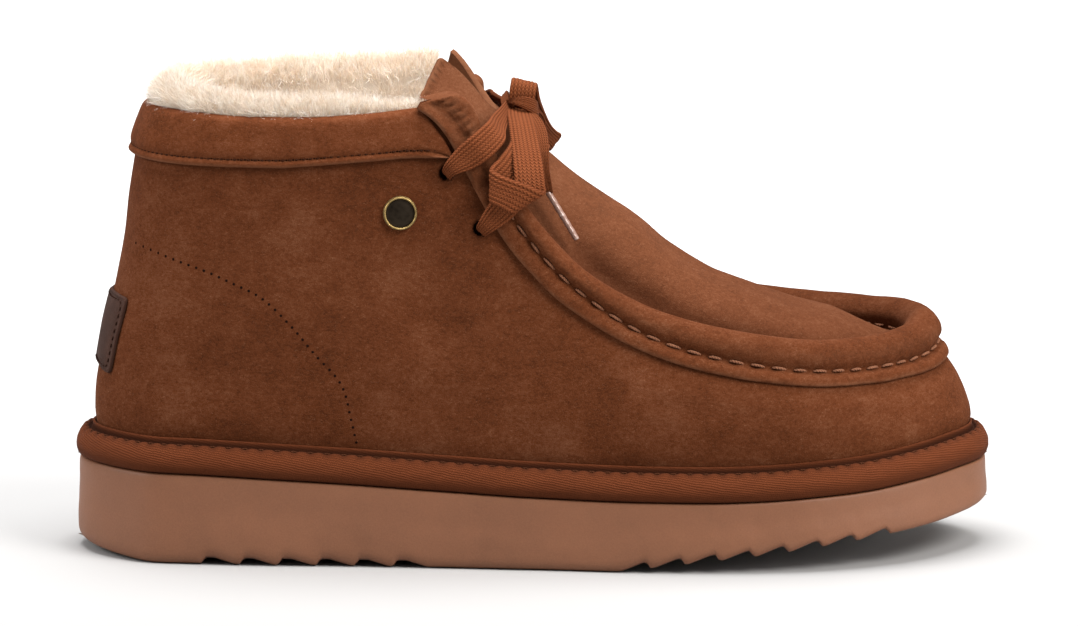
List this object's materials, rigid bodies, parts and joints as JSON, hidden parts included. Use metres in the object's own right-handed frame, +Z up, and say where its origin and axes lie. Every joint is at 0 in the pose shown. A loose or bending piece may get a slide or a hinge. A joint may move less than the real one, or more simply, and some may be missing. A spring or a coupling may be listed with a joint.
{
  "type": "lace-up suede ankle boot",
  "caption": "Right lace-up moccasin ankle boot of suede with a deep fleece lining, rolled apron seam, flat laces tied in a bow and a thick ribbed foam sole",
  "frame": {"origin": "On the floor under the centre of the shoe's bounding box, where the flat of the sole rests.", "axes": "+X to the toe, +Y to the inner (medial) side of this right shoe, +Z up. The lateral side faces -Y."},
  "size_m": [0.3, 0.1095, 0.1632],
  "materials": {
    "suede": "matte napped suede, chestnut brown, with fine light fibres",
    "rand": "ribbed and twilled band over a soft bead, dark brown",
    "foam": "matte moulded foam rubber, peach tan",
    "fleece": "deep cream sheepskin fleece",
    "patch": "smooth dark brown patch with a soft sheen",
    "brass": "aged brass rivet with a dark sunk face",
    "braid": "flat ribbed cotton braid, rust orange",
    "clear": "clear glossy lace tip over brown braid"
  },
  "bodies": {
    "root": {"outsole": "foam", "welt": "rand", "upper": "suede", "apron_tongue": "suede", "apron_rim": "suede", "collar_band": "suede", "insole": "fleece", "heel_label": "patch", "rivet_button": "brass", "lace_upper": "braid", "lace_lower": "braid", "lace_knot": "braid", "lace_bow_lateral": "braid", "lace_bow_medial": "braid", "aglet_lateral": "clear", "aglet_medial": "clear"}
  },
  "joints": []
}
